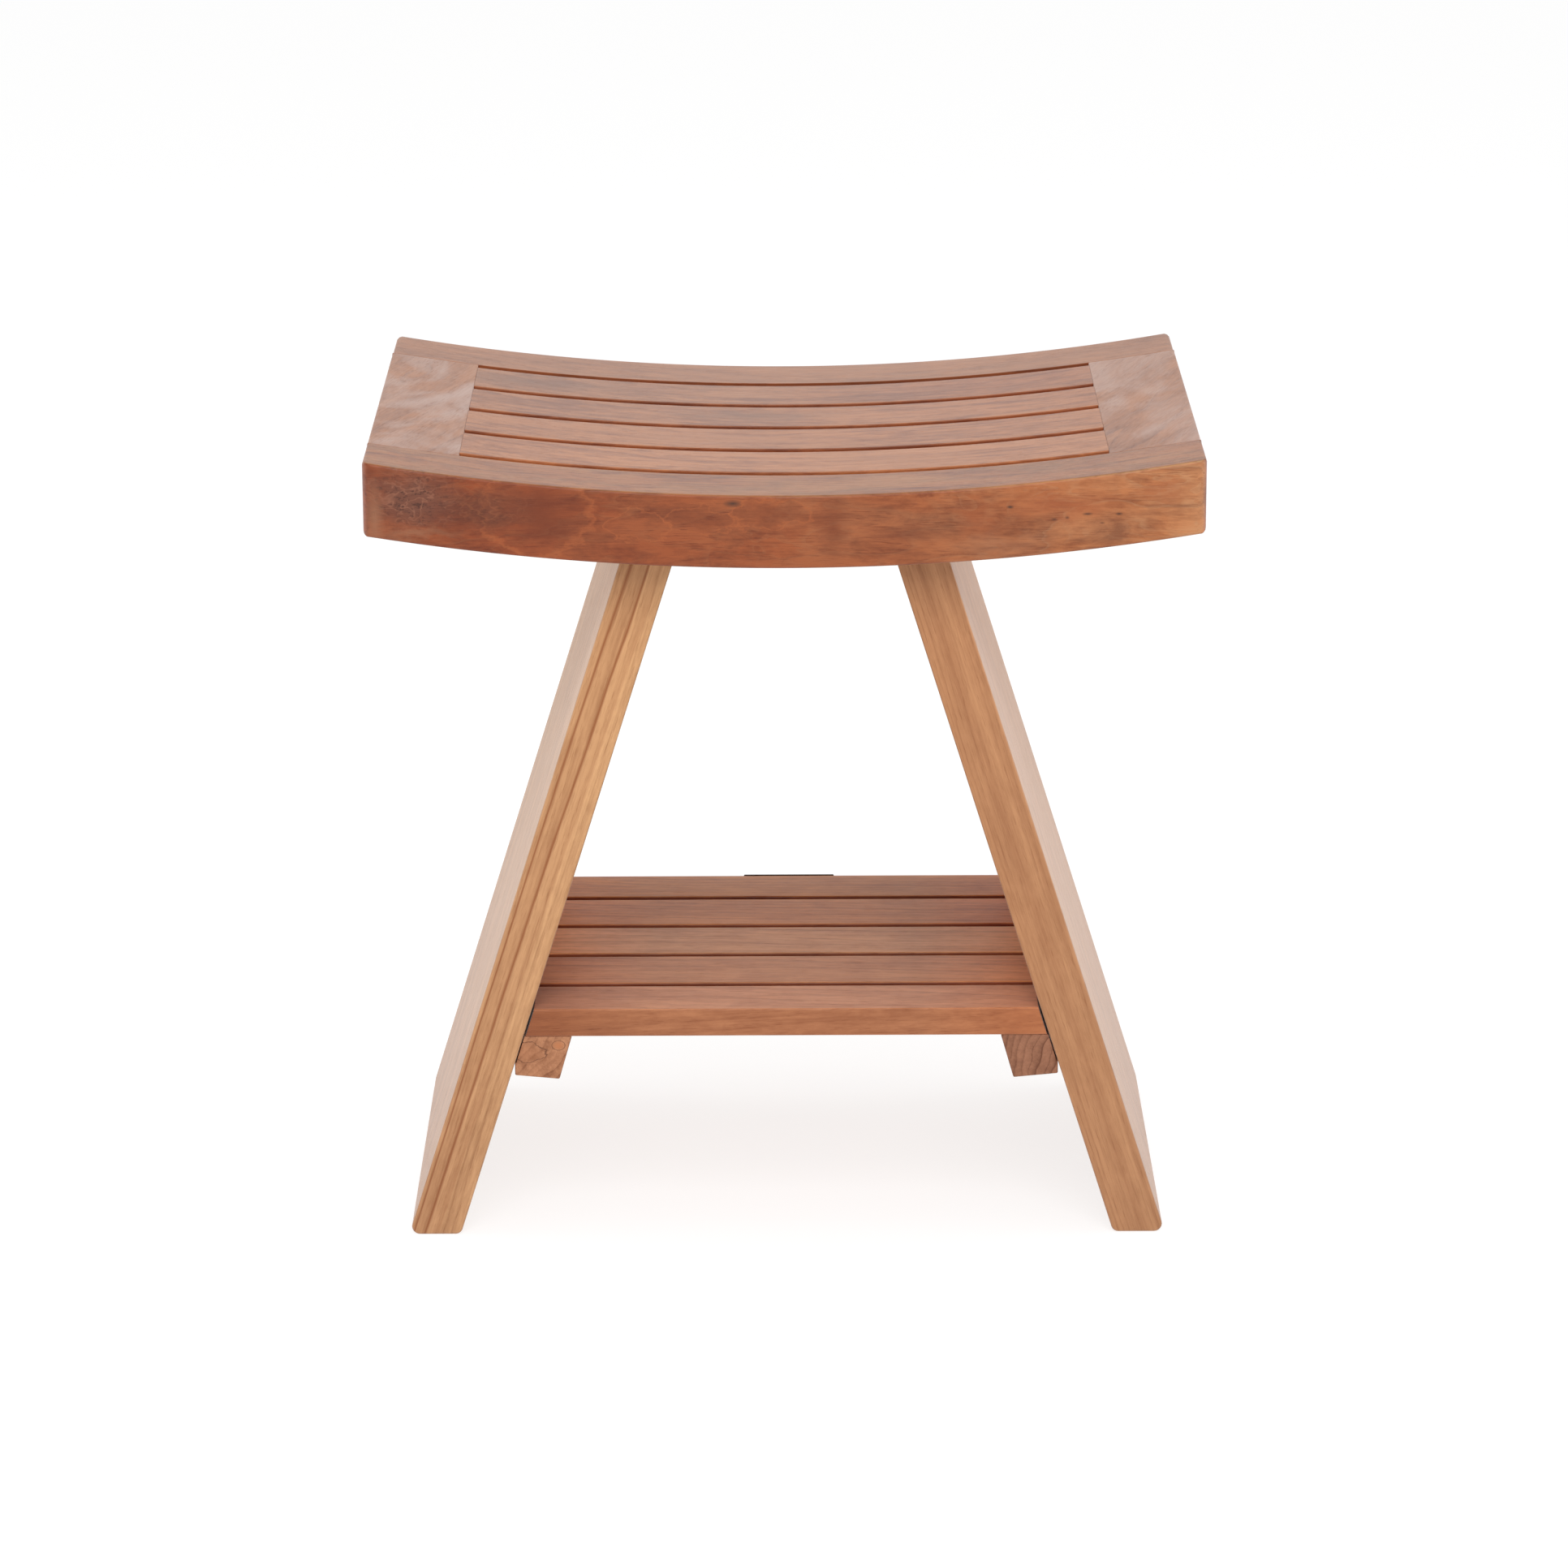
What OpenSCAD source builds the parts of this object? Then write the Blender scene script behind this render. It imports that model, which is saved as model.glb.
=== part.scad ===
// Teak shower stool: a dished slatted seat on two leaning leg panels, with a slatted shelf.
// Millimetres. +X runs along the seat, +Y to the back, +Z up. The origin is on the floor under the centre.

/* [Seat] */
// Length of the seat, along X
seat_length = 457; // [380:1:520]
// Depth of the seat, front to back
seat_depth = 330; // [326:1:345]
// Height of the seat's two ends above the floor
seat_height = 457; // [430:1:480]
// How far the middle of the seat dips below its ends
seat_dip = 19.4; // [12:0.2:24]
// Depth of the front and back rails, top to bottom
rail_thickness = 40.6; // [37:0.2:46]
// Thickness of the slats and the end boards
seat_board_thickness = 20; // [18:0.5:21]
// Width of each slot in the seat
seat_slot = 7; // [5:0.5:8]
// Distance from one slot's middle to the next
seat_pitch = 56.5; // [55:0.5:57]
// Width of the end boards, along X
end_board_width = 50.2; // [46:0.2:54]

/* [Legs] */
// Half the distance between the legs' outer faces at the floor
leg_foot_x = 214; // [205:1:220]
// Sideways travel of a leg for each millimetre of height
leg_slope = 0.315; // [0.29:0.005:0.33]
// Thickness of a leg panel, square to its face
leg_thickness = 28; // [26:0.5:30]
// Width of a leg panel, front to back
leg_depth = 258; // [250:1:264]

/* [Shelf] */
// Height of the shelf's top above the floor
shelf_height = 133.3; // [120:0.1:150]
// Thickness of the shelf slats
shelf_thickness = 16; // [14:0.5:18]
// Width of the inner shelf slats
shelf_slat_width = 50; // [48:1:51]
// Gap between shelf slats
shelf_gap = 5; // [4.5:0.5:6]
// Depth of the shelf, front to back
shelf_depth = 255; // [252:1:258]
// Height of the cleats under the shelf
cleat_height = 23; // [20:1:26]
// Horizontal width of the cleats
cleat_width = 27.3; // [25:0.1:30]
// How much lower the cleats are on their inner side
cleat_drop = 2.3; // [0:0.1:4]

/* [Fittings] */
// Diameter of the wooden dowels
dowel_d = 8; // [6:1:9]
// Length of the wooden dowels
dowel_length = 38; // [30:1:40]
// Thread diameter of the leg bolts
bolt_d = 6; // [5:1:6]
// Diameter of the screws' shanks
screw_d = 4; // [3.5:0.5:4.5]
// Width of the blank plate
plate_width = 54; // [40:1:60]

/* [Hidden] */

teak = "#b98b6c";
teak_red = "#9c6040";
teak_pale = "#cfb39c";
steel = "#b9bcc0";
dowel_wood = "#d9c3a0";
plate_dark = "#4a3f38";

$fn = 48;
arc_fn = 720;
clearance = 0.05;
reach = 600;

half_length = seat_length / 2;
rail_inner_y = 2 * seat_pitch + seat_slot / 2;
seat_slat_width = seat_pitch - seat_slot;
end_inner_x = half_length - end_board_width;
corner_r = 5.5;

// The dish is an arc through the two seat ends and the lowest point in the middle
arc_r = half_length * half_length / (2 * seat_dip) + seat_dip / 2;
arc_z = seat_height - seat_dip + arc_r;
function dish_z(x) = arc_z - sqrt(arc_r * arc_r - x * x);

// Slat tenons, held in mortises in the end boards
tenon_thickness = 9;
tenon_width = 34;
tenon_length = 15;
mortise_play = 0.15;

lean = atan(leg_slope);
leg_run = leg_thickness / cos(lean);
leg_tongue_depth = 2 * rail_inner_y - 0.5;
foot_outer_r = 4.5;
foot_inner_r = 4;
function leg_inner_x(z) = leg_foot_x - leg_run - leg_slope * z;

bearer_inner_x = 20;
bearer_z = dish_z(bearer_inner_x) - rail_thickness;

// Leg bolts: along X, from a flat counterbore in the leg's outer face into the bearer
bolt_z = bearer_z + 10.5;
bolt_y = 60;
bolt_seat_x = leg_foot_x - leg_slope * bolt_z - 10.5;
bolt_length = 50;
bolt_head_d = 10;
bolt_head_h = 6;
washer_d = 14;
washer_h = 1.6;
counterbore_d = 15.5;
nut_x = bolt_seat_x - 39;
nut_d = 10;
nut_length = 14;

screw_head_d = 8;
screw_head_h = 2.4;
screw_tip = 4;
bearer_screw_x = 28;
bearer_screw_length = 32;
shelf_screw_length = 32;
cleat_screw_length = 45;

shelf_bottom_z = shelf_height - shelf_thickness;
shelf_screw_x = leg_inner_x(shelf_bottom_z) - 11;
shelf_end_gap = 1.2;
cleat_depth = shelf_depth - 1;
cleat_bottom_z = shelf_bottom_z - cleat_height;
shelf_screw_z = cleat_bottom_z - cleat_drop / 2 + 0.6;
cleat_step_z = shelf_bottom_z - 15.6;
cleat_screw_z = shelf_bottom_z - 0.52 * cleat_height;
shelf_outer_width = (shelf_depth - 3 * shelf_slat_width - 4 * shelf_gap) / 2;
shelf_slat_pitch = shelf_slat_width + shelf_gap;

plate_thickness = 0.8;
plate_height = shelf_thickness - 1;
plate_x = 2.2;
plate_rise = 0.3;
plate_z = shelf_height + plate_rise - plate_height;
pin_x = plate_width / 2 - 5;
pin_d = 1.6;
pin_length = 9;

// Middles of the seat slats, front to back
seat_slat_ys = [for (i = [-1.5:1:1.5]) i * seat_pitch];
// Middles of the gaps in the shelf, where the cleat screws sit
shelf_gap_ys = [for (i = [-1.5:1:1.5]) i * shelf_slat_pitch];
// Middles of the shelf slats, front to back
shelf_slat_ys = [
    -(shelf_depth - shelf_outer_width) / 2, -shelf_slat_pitch, 0,
    shelf_slat_pitch, (shelf_depth - shelf_outer_width) / 2
];

// --- Shared shapes ---

// A cylinder lying along Y, centred on the dish's axis
module dish_cylinder(below_top) {
    translate([0, -reach / 2, arc_z])
        rotate([-90, 0, 0])
            cylinder(r = arc_r + below_top, h = reach, $fn = arc_fn);
}

// A layer of the dish between two depths below the seat's surface, cut to a block in X and Y
module dish_layer(top, bottom, x0, x1, y0, y1) {
    difference() {
        intersection() {
            translate([x0, y0, seat_height - 100])
                cube([x1 - x0, y1 - y0, 200]);
            dish_cylinder(bottom);
        }
        dish_cylinder(top);
    }
}

// Plan outline of the whole seat, with rounded corners
module seat_outline() {
    square([seat_length - 2 * corner_r, seat_depth], center = true);
    square([seat_length, seat_depth - 2 * corner_r], center = true);
    for (sx = [-1, 1], sy = [-1, 1])
        translate([sx * (half_length - corner_r), sy * (seat_depth / 2 - corner_r)])
            circle(r = corner_r);
}

// Repeats its children on the left and the right
module both_sides() {
    for (side = [0, 1])
        mirror([side, 0, 0])
            children();
}

// A rod along Y, centred on y
module rod_y(x, y, z, d, length) {
    translate([x, y - length / 2, z])
        rotate([-90, 0, 0])
            cylinder(d = d, h = length);
}

// A countersunk wood screw standing on its head, tip up
module wood_screw(length) {
    difference() {
        union() {
            cylinder(d1 = screw_head_d, d2 = screw_d, h = screw_head_h);
            cylinder(d = screw_d, h = length - screw_tip);
            translate([0, 0, length - screw_tip])
                cylinder(d1 = screw_d, d2 = 0.6, h = screw_tip);
        }
        for (turn = [0, 90])
            rotate([0, 0, turn])
                translate([-2.2, -0.45, -1])
                    cube([4.4, 0.9, 2.6]);
    }
}

// The hole that a wood screw leaves
module screw_hole(length) {
    translate([0, 0, -4])
        cylinder(d = screw_head_d + 2 * clearance, h = 4);
    cylinder(d1 = screw_head_d + 2 * clearance, d2 = screw_d + 2 * clearance, h = screw_head_h);
    cylinder(d = screw_d + 2 * clearance, h = length + 1);
}

// --- Seat ---

module end_board_dowel_rods(d, length) {
    for (x = [half_length - 25, half_length - 11], side = [-1, 1])
        rod_y(x, side * rail_inner_y, dish_z(x) - seat_board_thickness / 2, d, length);
}

module bearer_dowel_rods(d, length) {
    for (x = [bearer_inner_x + 9, bearer_inner_x + 25], side = [-1, 1])
        rod_y(x, side * rail_inner_y, bearer_z + 10, d, length);
}

// The front rail; the back rail is its mirror image
module seat_rail() {
    difference() {
        intersection() {
            dish_layer(0, rail_thickness, -reach / 2, reach / 2, -seat_depth / 2, -rail_inner_y);
            translate([0, 0, seat_height - 100])
                linear_extrude(200)
                    seat_outline();
        }
        both_sides() {
            end_board_dowel_rods(dowel_d + 2 * clearance, dowel_length + 1);
            bearer_dowel_rods(dowel_d + 2 * clearance, dowel_length + 1);
        }
    }
}

module seat_front_rail() {
    color(teak_red) seat_rail();
}

module seat_back_rail() {
    color(teak_red) mirror([0, 1, 0]) seat_rail();
}

module seat_end_right() {
    mortise_top = (seat_board_thickness - tenon_thickness) / 2 - mortise_play;
    mortise_bottom = (seat_board_thickness + tenon_thickness) / 2 + mortise_play;
    half_mortise = tenon_width / 2 + mortise_play;
    color(teak)
        difference() {
            dish_layer(0, seat_board_thickness, end_inner_x, half_length, -rail_inner_y, rail_inner_y);
            for (y = seat_slat_ys)
                dish_layer(mortise_top, mortise_bottom, end_inner_x - 10, end_inner_x + tenon_length + 1,
                    y - half_mortise, y + half_mortise);
            end_board_dowel_rods(dowel_d + 2 * clearance, dowel_length + 1);
        }
}

module seat_end_left() {
    mirror([1, 0, 0]) seat_end_right();
}

// A seat slat with a tenon at each end; index counts from the front
module seat_slat(index) {
    y = seat_slat_ys[index - 1];
    half_width = seat_slat_width / 2;
    tenon_x = end_inner_x + tenon_length;
    tenon_top = (seat_board_thickness - tenon_thickness) / 2;
    color(teak)
        difference() {
            union() {
                dish_layer(0, seat_board_thickness, -end_inner_x, end_inner_x, y - half_width, y + half_width);
                dish_layer(tenon_top, tenon_top + tenon_thickness, -tenon_x, tenon_x,
                    y - tenon_width / 2, y + tenon_width / 2);
            }
            both_sides()
                translate([bearer_screw_x, y, bearer_z])
                    screw_hole(bearer_screw_length);
        }
}

// A batten under the slats, between the rails and against the leg's inner face
module seat_bearer_right() {
    color(teak_red)
        difference() {
            intersection() {
                dish_layer(seat_board_thickness, rail_thickness, bearer_inner_x, reach / 2,
                    -rail_inner_y, rail_inner_y);
                translate([0, rail_inner_y, 0])
                    rotate([90, 0, 0])
                        linear_extrude(2 * rail_inner_y)
                            polygon([
                                [0, seat_height], [0, seat_height - 100],
                                [leg_inner_x(seat_height - 100), seat_height - 100],
                                [leg_inner_x(seat_height), seat_height]
                            ]);
            }
            bearer_dowel_rods(dowel_d + 2 * clearance, dowel_length + 1);
            for (y = seat_slat_ys)
                translate([bearer_screw_x, y, bearer_z])
                    screw_hole(bearer_screw_length);
            leg_bolt_holes();
            for (side = [-1, 1])
                translate([nut_x, side * bolt_y, bolt_z - nut_length / 2 - 6])
                    cylinder(d = nut_d + 2 * clearance, h = nut_length + 6);
        }
}

module seat_bearer_left() {
    mirror([1, 0, 0]) seat_bearer_right();
}

module end_board_dowels() {
    color(dowel_wood) both_sides() end_board_dowel_rods(dowel_d, dowel_length);
}

module bearer_dowels() {
    color(dowel_wood) both_sides() bearer_dowel_rods(dowel_d, dowel_length);
}

module bearer_screws() {
    color(steel)
        both_sides()
            for (y = seat_slat_ys)
                translate([bearer_screw_x, y, bearer_z])
                    wood_screw(bearer_screw_length);
}

// --- Legs ---

// Section of the right leg in X and Z, running past the seat; the foot's two corners are round
module leg_section() {
    top_z = seat_height;
    outer_x = leg_foot_x - foot_outer_r * (leg_slope + 1 / cos(lean));
    inner_x = leg_foot_x - leg_run + foot_inner_r * (1 / cos(lean) - leg_slope);
    polygon([
        for (a = [0:10:90 - lean]) [inner_x - foot_inner_r * sin(a), foot_inner_r * (1 - cos(a))],
        [inner_x - foot_inner_r * cos(lean), foot_inner_r * (1 - sin(lean))],
        [leg_inner_x(top_z), top_z],
        [leg_inner_x(top_z) + leg_run, top_z],
        for (a = [90 + lean:-10:0]) [outer_x + foot_outer_r * sin(a), foot_outer_r * (1 - cos(a))],
        [outer_x, 0]
    ]);
}

// A slab of the right leg's section between two Y planes
module leg_slab(y0, y1) {
    translate([0, y1, 0])
        rotate([90, 0, 0])
            linear_extrude(y1 - y0)
                leg_section();
}

// The bolts' counterbores and clearance holes on the right side
module leg_bolt_holes() {
    for (side = [-1, 1])
        translate([bolt_seat_x, side * bolt_y, bolt_z]) {
            rotate([0, 90, 0])
                cylinder(d = counterbore_d, h = 40);
            rotate([0, -90, 0])
                cylinder(d = bolt_d + 0.4, h = bolt_length);
        }
}

// Where the right cleat's screws enter, square to the leg's face
module at_cleat_screws() {
    for (y = shelf_gap_ys)
        translate([leg_inner_x(cleat_screw_z) - cleat_width, y, cleat_screw_z])
            rotate([0, 90 - lean, 0])
                children();
}

// Full width up to the rails, where its shoulders bear; a tongue goes on up between them to the slats
module leg_right() {
    color(teak_pale)
        difference() {
            union() {
                difference() {
                    leg_slab(-leg_depth / 2, leg_depth / 2);
                    dish_cylinder(rail_thickness);
                }
                difference() {
                    leg_slab(-leg_tongue_depth / 2, leg_tongue_depth / 2);
                    dish_cylinder(seat_board_thickness);
                }
            }
            leg_bolt_holes();
            at_cleat_screws()
                screw_hole(cleat_screw_length);
        }
}

module leg_left() {
    mirror([1, 0, 0]) leg_right();
}

// A socket-head bolt in each counterbore, through the washer, the leg, the bearer and the nut
module leg_bolts() {
    color(steel)
        both_sides()
            for (side = [-1, 1])
                translate([bolt_seat_x + washer_h, side * bolt_y, bolt_z]) {
                    difference() {
                        rotate([0, 90, 0])
                            cylinder(d = bolt_head_d, h = bolt_head_h);
                        translate([bolt_head_h - 3, 0, 0])
                            rotate([0, 90, 0])
                                cylinder(d = 5.8, h = 4, $fn = 6);
                    }
                    rotate([0, -90, 0])
                        cylinder(d = bolt_d, h = bolt_length);
                }
}

module leg_washers() {
    color(steel)
        both_sides()
            for (side = [-1, 1])
                translate([bolt_seat_x, side * bolt_y, bolt_z])
                    rotate([0, 90, 0])
                        difference() {
                            cylinder(d = washer_d, h = washer_h);
                            translate([0, 0, -1])
                                cylinder(d = bolt_d + 0.4, h = washer_h + 2);
                        }
}

// A barrel nut across each bolt, let into the bearer from below
module leg_barrel_nuts() {
    color(steel)
        both_sides()
            for (side = [-1, 1])
                translate([nut_x, side * bolt_y, bolt_z])
                    difference() {
                        cylinder(d = nut_d, h = nut_length, center = true);
                        rotate([0, 90, 0])
                            cylinder(d = bolt_d + 2 * clearance, h = nut_d + 2, center = true);
                        translate([-3.5, -0.6, -nut_length / 2 - 1])
                            cube([7, 1.2, 2.5]);
                    }
}

// --- Shelf ---

// A shelf slat; its ends follow the lean of the legs. Index counts from the front
module shelf_slat(index) {
    width = (index == 1 || index == 5) ? shelf_outer_width : shelf_slat_width;
    y = shelf_slat_ys[index - 1];
    top_x = leg_inner_x(shelf_height) - shelf_end_gap;
    bottom_x = leg_inner_x(shelf_bottom_z) - shelf_end_gap;
    color(teak)
        difference() {
            translate([0, y + width / 2, 0])
                rotate([90, 0, 0])
                    linear_extrude(width)
                        polygon([
                            [-bottom_x, shelf_bottom_z], [bottom_x, shelf_bottom_z],
                            [top_x, shelf_height], [-top_x, shelf_height]
                        ]);
            both_sides()
                translate([shelf_screw_x, y, shelf_screw_z])
                    screw_hole(shelf_screw_length);
            if (index == 5)
                label_pin_rods(pin_d + 2 * clearance);
        }
}

// A batten along the leg's inner face; its lower outer corner is cut upright, clear of the leg
module shelf_cleat_right() {
    step_x = leg_inner_x(cleat_step_z);
    color(teak_red)
        difference() {
            translate([0, cleat_depth / 2, 0])
                rotate([90, 0, 0])
                    linear_extrude(cleat_depth)
                        polygon([
                            [leg_inner_x(shelf_bottom_z), shelf_bottom_z],
                            [leg_inner_x(shelf_bottom_z) - cleat_width, shelf_bottom_z],
                            [leg_inner_x(cleat_bottom_z) - cleat_width, cleat_bottom_z - cleat_drop],
                            [step_x, cleat_bottom_z],
                            [step_x, cleat_step_z]
                        ]);
            for (y = shelf_slat_ys)
                translate([shelf_screw_x, y, shelf_screw_z])
                    screw_hole(shelf_screw_length);
            at_cleat_screws()
                screw_hole(cleat_screw_length);
        }
}

module shelf_cleat_left() {
    mirror([1, 0, 0]) shelf_cleat_right();
}

module shelf_slat_screws() {
    color(steel)
        both_sides()
            for (y = shelf_slat_ys)
                translate([shelf_screw_x, y, shelf_screw_z])
                    wood_screw(shelf_screw_length);
}

module shelf_cleat_screws() {
    color(steel)
        both_sides()
            at_cleat_screws()
                wood_screw(cleat_screw_length);
}

// --- Blank plate on the back edge of the shelf ---

module label_pin_rods(d) {
    for (side = [-1, 1])
        translate([plate_x + side * pin_x, shelf_depth / 2 - pin_length + plate_thickness, plate_z + plate_height / 2])
            rotate([-90, 0, 0])
                cylinder(d = d, h = pin_length);
}

module label_plate() {
    color(plate_dark)
        difference() {
            translate([plate_x - plate_width / 2, shelf_depth / 2, plate_z])
                cube([plate_width, plate_thickness, plate_height]);
            label_pin_rods(pin_d + 2 * clearance);
        }
}

module label_pins() {
    color(steel) {
        label_pin_rods(pin_d);
        for (side = [-1, 1])
            translate([plate_x + side * pin_x, shelf_depth / 2 + plate_thickness, plate_z + plate_height / 2])
                rotate([-90, 0, 0])
                    cylinder(d1 = 3.2, d2 = 2.2, h = 0.7);
    }
}

seat_front_rail();
seat_back_rail();
seat_end_left();
seat_end_right();
seat_slat(1);  // seat_slat_1
seat_slat(2);  // seat_slat_2
seat_slat(3);  // seat_slat_3
seat_slat(4);  // seat_slat_4
seat_bearer_left();
seat_bearer_right();
end_board_dowels();
bearer_dowels();
bearer_screws();
leg_left();
leg_right();
leg_bolts();
leg_washers();
leg_barrel_nuts();
shelf_slat(1);  // shelf_slat_1
shelf_slat(2);  // shelf_slat_2
shelf_slat(3);  // shelf_slat_3
shelf_slat(4);  // shelf_slat_4
shelf_slat(5);  // shelf_slat_5
shelf_cleat_left();
shelf_cleat_right();
shelf_slat_screws();
shelf_cleat_screws();
label_plate();
label_pins();
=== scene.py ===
import math

import bmesh
import bpy
from mathutils import Matrix, Vector


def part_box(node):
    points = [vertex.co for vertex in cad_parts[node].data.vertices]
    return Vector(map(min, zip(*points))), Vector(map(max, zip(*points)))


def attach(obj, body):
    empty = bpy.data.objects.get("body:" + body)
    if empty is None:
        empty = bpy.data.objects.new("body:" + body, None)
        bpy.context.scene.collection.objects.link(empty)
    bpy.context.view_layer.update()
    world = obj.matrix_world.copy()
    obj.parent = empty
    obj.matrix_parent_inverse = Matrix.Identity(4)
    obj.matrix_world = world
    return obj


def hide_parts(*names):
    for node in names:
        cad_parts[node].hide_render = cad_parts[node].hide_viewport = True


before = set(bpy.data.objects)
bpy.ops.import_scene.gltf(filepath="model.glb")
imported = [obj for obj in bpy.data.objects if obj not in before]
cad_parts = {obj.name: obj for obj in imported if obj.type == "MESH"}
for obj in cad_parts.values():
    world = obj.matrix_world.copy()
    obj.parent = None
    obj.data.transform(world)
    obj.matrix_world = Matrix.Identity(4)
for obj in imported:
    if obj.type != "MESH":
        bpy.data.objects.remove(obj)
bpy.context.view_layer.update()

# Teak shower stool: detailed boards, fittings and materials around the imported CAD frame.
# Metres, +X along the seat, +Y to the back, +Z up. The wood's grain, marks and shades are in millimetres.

MM = 0.001

# --- Sizes: the driving ones are the CAD's own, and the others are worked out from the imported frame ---

RAIL_THICKNESS = 40.6 * MM
BOARD_THICKNESS = 20 * MM
TENON_LENGTH = 15 * MM
TENON_WIDTH = 34 * MM
TENON_THICKNESS = 9 * MM
MORTISE_PLAY = 0.15 * MM
LEG_FOOT_X = 214 * MM
LEG_SLOPE = 0.315
LEG_THICKNESS = 28 * MM
LEG_PLAY = 0.25 * MM
FOOT_OUTER_R = 4.5 * MM
FOOT_INNER_R = 4 * MM
SHELF_END_GAP = 1.2 * MM
CLEAT_WIDTH = 27.3 * MM
CLEAT_STEP = 15.6 * MM
CLEAT_DROP = 2.3 * MM

rail_lo, rail_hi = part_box("seat_front_rail")
end_lo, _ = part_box("seat_end_right")
bearer_lo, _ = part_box("seat_bearer_right")
_, leg_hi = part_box("leg_right")
cleat_lo, cleat_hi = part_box("shelf_cleat_right")

half_length = rail_hi.x
half_depth = -rail_lo.y
rail_inner_y = -rail_hi.y
end_inner_x = end_lo.x

# The dish is an arc through the seat's two ends and its lowest point
seat_top = rail_hi.z
seat_dip = seat_top - rail_lo.z - RAIL_THICKNESS
arc_r = half_length ** 2 / (2 * seat_dip) + seat_dip / 2
arc_z = seat_top - seat_dip + arc_r

leg_lean = math.atan(LEG_SLOPE)
leg_run = LEG_THICKNESS / math.cos(leg_lean)
leg_half_depth = leg_hi.y
left_outward = (-math.cos(leg_lean), 0, math.sin(leg_lean))
right_outward = (math.cos(leg_lean), 0, math.sin(leg_lean))


def leg_inner_x(z):
    """X of the right leg's inner face at a height."""
    return LEG_FOOT_X - leg_run - LEG_SLOPE * z


def dish(x, depth):
    """Height of the dished seat at x, at a depth below its surface."""
    return arc_z - math.sqrt((arc_r + depth) ** 2 - x * x)


# --- Mesh helpers ---

SHARP_ANGLE = math.radians(25)
EASE_SEGMENTS = 3
# An edge runs along an axis when that part of its direction is above this
ALONG = 0.9


def spread(low, high, step, margin=0.0):
    """Evenly spaced stations from low to high. A margin keeps the inner ones that far from both ends."""
    if high - low <= step:
        return [low, high]
    inner = (low + margin, high - margin)
    count = max(1, round((inner[1] - inner[0]) / step))
    stations = [inner[0] + (inner[1] - inner[0]) * i / count for i in range(count + 1)]
    return [low, *stations, high] if margin else stations


def lattice_block(xs, ys, zs):
    """A closed box of quads whose faces are cut at the given stations."""
    bm = bmesh.new()
    last = (len(xs) - 1, len(ys) - 1, len(zs) - 1)
    verts = {}
    for i, x in enumerate(xs):
        for j, y in enumerate(ys):
            for k, z in enumerate(zs):
                if i in (0, last[0]) or j in (0, last[1]) or k in (0, last[2]):
                    verts[i, j, k] = bm.verts.new((x, y, z))
    for axis in range(3):
        u, v = [a for a in range(3) if a != axis]
        for side in (0, last[axis]):
            for a in range(last[u]):
                for b in range(last[v]):
                    keys = []
                    for da, db in ((0, 0), (1, 0), (1, 1), (0, 1)):
                        key = [0, 0, 0]
                        key[axis], key[u], key[v] = side, a + da, b + db
                        keys.append(verts[tuple(key)])
                    bm.faces.new(keys)
    bmesh.ops.recalc_face_normals(bm, faces=bm.faces)
    return bm


def prism(outline, y0, y1):
    """An XZ outline, listed as (x, z), run from y0 to y1."""
    bm = bmesh.new()
    front = [bm.verts.new((x, y0, z)) for x, z in outline]
    back = [bm.verts.new((x, y1, z)) for x, z in outline]
    bm.faces.new(front)
    bm.faces.new(back)
    for i in range(len(outline)):
        j = (i + 1) % len(outline)
        bm.faces.new((front[i], front[j], back[j], back[i]))
    bmesh.ops.recalc_face_normals(bm, faces=bm.faces)
    return bm


def link(name, bm):
    """A new object holding the bmesh."""
    mesh = bpy.data.meshes.new(name)
    bm.to_mesh(mesh)
    bm.free()
    obj = bpy.data.objects.new(name, mesh)
    bpy.context.scene.collection.objects.link(obj)
    return obj


def bake(obj):
    """Applies the object's modifiers to its mesh."""
    graph = bpy.context.evaluated_depsgraph_get()
    mesh = bpy.data.meshes.new_from_object(obj.evaluated_get(graph))
    old = obj.data
    obj.modifiers.clear()
    obj.data = mesh
    bpy.data.meshes.remove(old)
    mesh.name = obj.name


def ease(obj, radius_of):
    """Rounds edges: radius_of(middle, direction) gives each sharp edge's radius in metres, or 0."""
    bm = bmesh.new()
    bm.from_mesh(obj.data)
    weights = bm.edges.layers.float.new("bevel_weight_edge")
    largest = 0.0
    found = []
    for edge in bm.edges:
        if len(edge.link_faces) == 2 and edge.calc_face_angle() > SHARP_ANGLE:
            a, b = (v.co for v in edge.verts)
            radius = radius_of((a + b) / 2, (b - a).normalized())
            found.append((edge, radius))
            largest = max(largest, radius)
    for edge, radius in found:
        edge[weights] = radius / largest
    bm.to_mesh(obj.data)
    bm.free()
    bevel = obj.modifiers.new("ease", "BEVEL")
    bevel.limit_method = "WEIGHT"
    bevel.width = largest
    bevel.segments = EASE_SEGMENTS
    bevel.use_clamp_overlap = True
    bake(obj)


def reshape(obj, move):
    """Moves every vertex to move(point)."""
    for vert in obj.data.vertices:
        vert.co = move(vert.co.copy())


def carve(obj, *cutters, keep=False, operation="DIFFERENCE"):
    """Cuts the cutters out of obj, or joins them to it, and then removes them unless they are kept."""
    for cutter in cutters:
        cut = obj.modifiers.new("carve", "BOOLEAN")
        cut.operation = operation
        cut.solver = "EXACT"
        cut.object = cutter
        bake(obj)
        if not keep:
            bpy.data.objects.remove(cutter)


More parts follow.
